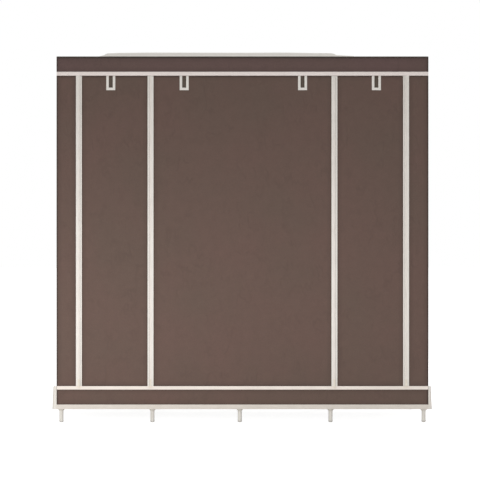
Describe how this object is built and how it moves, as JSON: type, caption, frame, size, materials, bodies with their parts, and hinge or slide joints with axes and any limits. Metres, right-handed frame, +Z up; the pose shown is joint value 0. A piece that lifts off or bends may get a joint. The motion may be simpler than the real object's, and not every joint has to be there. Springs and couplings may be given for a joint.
{
  "type": "portable fabric wardrobe",
  "caption": "Free-standing wardrobe: tube frame with shelves and hanging rods inside a brown fabric cover with cream bindings and zipped doors.",
  "frame": {"origin": "on the floor under the middle of the wardrobe", "axes": "+Z up, +X to the right seen from the front, the doors face -Y"},
  "size_m": [1.738, 0.4606, 1.7015],
  "materials": {
    "fabric_brown": "matte",
    "fabric_pale": "matte",
    "binding_cream": "matte",
    "tube_white": "satin",
    "connector_white": "satin",
    "lacquer_cream": "gloss"
  },
  "bodies": {
    "wardrobe": {"pole_front_1": "tube_white", "pole_front_2": "tube_white", "pole_front_3": "tube_white", "pole_front_4": "tube_white", "pole_front_5": "tube_white", "pole_rear_1": "tube_white", "pole_rear_2": "tube_white", "pole_rear_3": "tube_white", "pole_rear_4": "tube_white", "pole_rear_5": "tube_white", "base_frame": "connector_white", "top_frame": "connector_white", "shelf_frame_left_1": "connector_white", "shelf_frame_left_2": "connector_white", "shelf_frame_left_3": "connector_white", "shelf_frame_right_1": "connector_white", "shelf_frame_right_2": "connector_white", "shelf_frame_right_3": "connector_white", "shelf_left_1": "fabric_pale", "shelf_left_2": "fabric_pale", "shelf_left_3": "fabric_pale", "shelf_left_4": "fabric_pale", "shelf_right_1": "fabric_pale", "shelf_right_2": "fabric_pale", "shelf_right_3": "fabric_pale", "shelf_right_4": "fabric_pale", "shelf_middle_1": "fabric_pale", "shelf_middle_2": "fabric_pale", "hanging_rod_left": "tube_white", "hanging_rod_right": "tube_white", "roof": "fabric_pale", "back_panel": "fabric_brown", "side_panel_left": "fabric_brown", "side_panel_right": "fabric_brown", "front_strip_left": "fabric_brown", "front_strip_right": "fabric_brown", "header_band": "fabric_brown", "skirt_panel": "fabric_brown", "header_binding": "binding_cream", "skirt_binding": "binding_cream", "zip_tape_left": "binding_cream", "zip_tape_right": "binding_cream"},
    "left_door": {"left_door_panel": "fabric_brown", "left_door_binding": "binding_cream"},
    "middle_door": {"middle_door_panel": "fabric_brown", "middle_door_binding": "binding_cream"},
    "right_door": {"right_door_panel": "fabric_brown", "right_door_binding": "binding_cream"},
    "slider_1": {"zip_slider_1": "lacquer_cream"},
    "slider_2": {"zip_slider_2": "lacquer_cream"},
    "slider_3": {"zip_slider_3": "lacquer_cream"},
    "slider_4": {"zip_slider_4": "lacquer_cream"},
    "pull_1": {"zip_pull_1": "lacquer_cream"},
    "pull_2": {"zip_pull_2": "lacquer_cream"},
    "pull_3": {"zip_pull_3": "lacquer_cream"},
    "pull_4": {"zip_pull_4": "lacquer_cream"},
    "tab_1": {"tie_tab_1": "binding_cream"},
    "tab_2": {"tie_tab_2": "binding_cream"},
    "tab_3": {"tie_tab_3": "binding_cream"},
    "tab_4": {"tie_tab_4": "binding_cream"}
  },
  "joints": [
    {"name": "left_door_lift", "type": "hinge", "parent": "wardrobe", "child": "left_door", "pos_m": [-0.585, -0.225, 1.588], "axis": [-1, 0, 0], "range_deg": [0, 90]},
    {"name": "middle_door_lift", "type": "hinge", "parent": "wardrobe", "child": "middle_door", "pos_m": [0, -0.225, 1.588], "axis": [-1, 0, 0], "range_deg": [0, 90]},
    {"name": "right_door_lift", "type": "hinge", "parent": "wardrobe", "child": "right_door", "pos_m": [0.585, -0.225, 1.588], "axis": [-1, 0, 0], "range_deg": [0, 90]},
    {"name": "zip_1_travel", "type": "slide", "parent": "wardrobe", "child": "slider_1", "axis": [0, 0, 1], "range_m": [0, 1.36]},
    {"name": "zip_2_travel", "type": "slide", "parent": "middle_door", "child": "slider_2", "axis": [0, 0, 1], "range_m": [0, 1.36]},
    {"name": "zip_3_travel", "type": "slide", "parent": "middle_door", "child": "slider_3", "axis": [0, 0, 1], "range_m": [0, 1.36]},
    {"name": "zip_4_travel", "type": "slide", "parent": "wardrobe", "child": "slider_4", "axis": [0, 0, 1], "range_m": [0, 1.36]},
    {"name": "pull_1_swing", "type": "hinge", "parent": "slider_1", "child": "pull_1", "pos_m": [-0.749, -0.2313, 0.191], "axis": [-1, 0, 0], "range_deg": [0, 150]},
    {"name": "pull_2_swing", "type": "hinge", "parent": "slider_2", "child": "pull_2", "pos_m": [-0.42101, -0.2313, 0.191], "axis": [-1, 0, 0], "range_deg": [0, 150]},
    {"name": "pull_3_swing", "type": "hinge", "parent": "slider_3", "child": "pull_3", "pos_m": [0.42101, -0.2313, 0.191], "axis": [-1, 0, 0], "range_deg": [0, 150]},
    {"name": "pull_4_swing", "type": "hinge", "parent": "slider_4", "child": "pull_4", "pos_m": [0.749, -0.2313, 0.191], "axis": [-1, 0, 0], "range_deg": [0, 150]},
    {"name": "tab_1_swing", "type": "hinge", "parent": "left_door", "child": "tab_1", "pos_m": [-0.603, -0.2253, 1.584], "axis": [-1, 0, 0], "range_deg": [0, 80]},
    {"name": "tab_2_swing", "type": "hinge", "parent": "middle_door", "child": "tab_2", "pos_m": [-0.267, -0.2253, 1.584], "axis": [-1, 0, 0], "range_deg": [0, 80]},
    {"name": "tab_3_swing", "type": "hinge", "parent": "middle_door", "child": "tab_3", "pos_m": [0.275, -0.2253, 1.584], "axis": [-1, 0, 0], "range_deg": [0, 80]},
    {"name": "tab_4_swing", "type": "hinge", "parent": "right_door", "child": "tab_4", "pos_m": [0.613, -0.2253, 1.584], "axis": [-1, 0, 0], "range_deg": [0, 80]}
  ]
}
